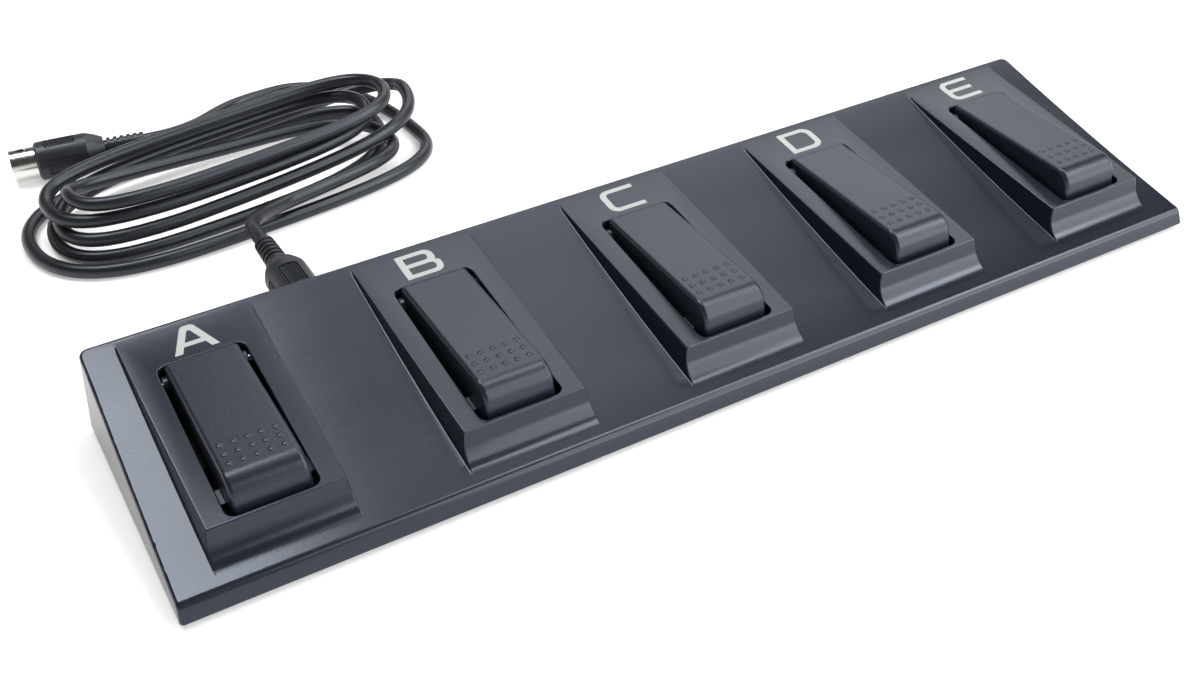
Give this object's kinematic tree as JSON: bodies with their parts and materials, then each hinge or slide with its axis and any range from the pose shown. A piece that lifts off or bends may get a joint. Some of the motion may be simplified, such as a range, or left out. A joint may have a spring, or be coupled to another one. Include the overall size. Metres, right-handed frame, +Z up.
{
  "type": "foot controller",
  "caption": "Low wedge-shaped foot controller with a row of sprung pedals on raised platforms and a coiled cord with round DIN plugs.",
  "frame": {"origin": "on the floor under the centre of the housing, without its cord and plugs", "axes": "+X to the right along the row of pedals, +Y to the rear where the socket is, +Z up"},
  "size_m": [0.392, 0.2959, 0.0311],
  "materials": {
    "housing": "satin fine-grained moulded plastic, dark slate grey",
    "pedal": "satin fine-grained moulded plastic, dark slate grey",
    "base": "matt black moulded plastic",
    "rubber": "matt black rubber",
    "steel": "plain bright steel",
    "board": "green circuit board",
    "switch": "black switch case",
    "plunger": "off-white plunger",
    "spring": "plain spring steel",
    "socket": "black moulded socket",
    "shell": "nickel-plated plug shell",
    "insert": "black insulator",
    "pins": "plated contact pins",
    "boot": "satin black overmould",
    "cord": "satin black cord sheath"
  },
  "bodies": {
    "base": {"top_housing": "housing", "base_plate": "base", "rubber_feet": "rubber", "base_screws": "steel", "circuit_board": "board", "board_screws": "steel", "pivot_shafts": "steel", "switch_bodies": "switch", "stop_pads": "rubber", "return_spring_1": "spring", "return_spring_2": "spring", "return_spring_3": "spring", "return_spring_4": "spring", "return_spring_5": "spring", "din_socket": "socket", "near_plug_shell": "shell", "near_plug_insert": "insert", "near_plug_pins": "pins", "near_plug_boot": "boot", "far_plug_shell": "shell", "far_plug_insert": "insert", "far_plug_pins": "pins", "far_plug_boot": "boot", "cord_lead": "cord", "cord_coil": "cord", "cord_tail": "cord"},
    "pedal_1": {"pedal_1": "pedal"},
    "plunger_1": {"switch_plunger_1": "plunger"},
    "pedal_2": {"pedal_2": "pedal"},
    "plunger_2": {"switch_plunger_2": "plunger"},
    "pedal_3": {"pedal_3": "pedal"},
    "plunger_3": {"switch_plunger_3": "plunger"},
    "pedal_4": {"pedal_4": "pedal"},
    "plunger_4": {"switch_plunger_4": "plunger"},
    "pedal_5": {"pedal_5": "pedal"},
    "plunger_5": {"switch_plunger_5": "plunger"}
  },
  "joints": [
    {"name": "pedal_1_press", "type": "hinge", "parent": "base", "child": "pedal_1", "pos_m": [-0.16, 0.0274, 0.0238], "axis": [1, 0, 0], "range_deg": [0, 5], "stiffness_Nm_per_rad": 2.8, "springref_deg": -4.58, "deforming": ["return_spring_1"]},
    {"name": "switch_1_press", "type": "slide", "parent": "base", "child": "plunger_1", "axis": [0, 0, -1], "range_m": [0, 0.0017]},
    {"name": "pedal_2_press", "type": "hinge", "parent": "base", "child": "pedal_2", "pos_m": [-0.08, 0.0274, 0.0238], "axis": [1, 0, 0], "range_deg": [0, 5], "stiffness_Nm_per_rad": 2.8, "springref_deg": -4.58, "deforming": ["return_spring_2"]},
    {"name": "switch_2_press", "type": "slide", "parent": "base", "child": "plunger_2", "axis": [0, 0, -1], "range_m": [0, 0.0017]},
    {"name": "pedal_3_press", "type": "hinge", "parent": "base", "child": "pedal_3", "pos_m": [0, 0.0274, 0.0238], "axis": [1, 0, 0], "range_deg": [0, 5], "stiffness_Nm_per_rad": 2.8, "springref_deg": -4.58, "deforming": ["return_spring_3"]},
    {"name": "switch_3_press", "type": "slide", "parent": "base", "child": "plunger_3", "axis": [0, 0, -1], "range_m": [0, 0.0017]},
    {"name": "pedal_4_press", "type": "hinge", "parent": "base", "child": "pedal_4", "pos_m": [0.08, 0.0274, 0.0238], "axis": [1, 0, 0], "range_deg": [0, 5], "stiffness_Nm_per_rad": 2.8, "springref_deg": -4.58, "deforming": ["return_spring_4"]},
    {"name": "switch_4_press", "type": "slide", "parent": "base", "child": "plunger_4", "axis": [0, 0, -1], "range_m": [0, 0.0017]},
    {"name": "pedal_5_press", "type": "hinge", "parent": "base", "child": "pedal_5", "pos_m": [0.16, 0.0274, 0.0238], "axis": [1, 0, 0], "range_deg": [0, 5], "stiffness_Nm_per_rad": 2.8, "springref_deg": -4.58, "deforming": ["return_spring_5"]},
    {"name": "switch_5_press", "type": "slide", "parent": "base", "child": "plunger_5", "axis": [0, 0, -1], "range_m": [0, 0.0017]}
  ],
  "couplings": [
    {"joint": "switch_1_press", "follows": "pedal_1_press", "m_per_rad": 0.0194},
    {"joint": "switch_2_press", "follows": "pedal_2_press", "m_per_rad": 0.0194},
    {"joint": "switch_3_press", "follows": "pedal_3_press", "m_per_rad": 0.0194},
    {"joint": "switch_4_press", "follows": "pedal_4_press", "m_per_rad": 0.0194},
    {"joint": "switch_5_press", "follows": "pedal_5_press", "m_per_rad": 0.0194}
  ]
}
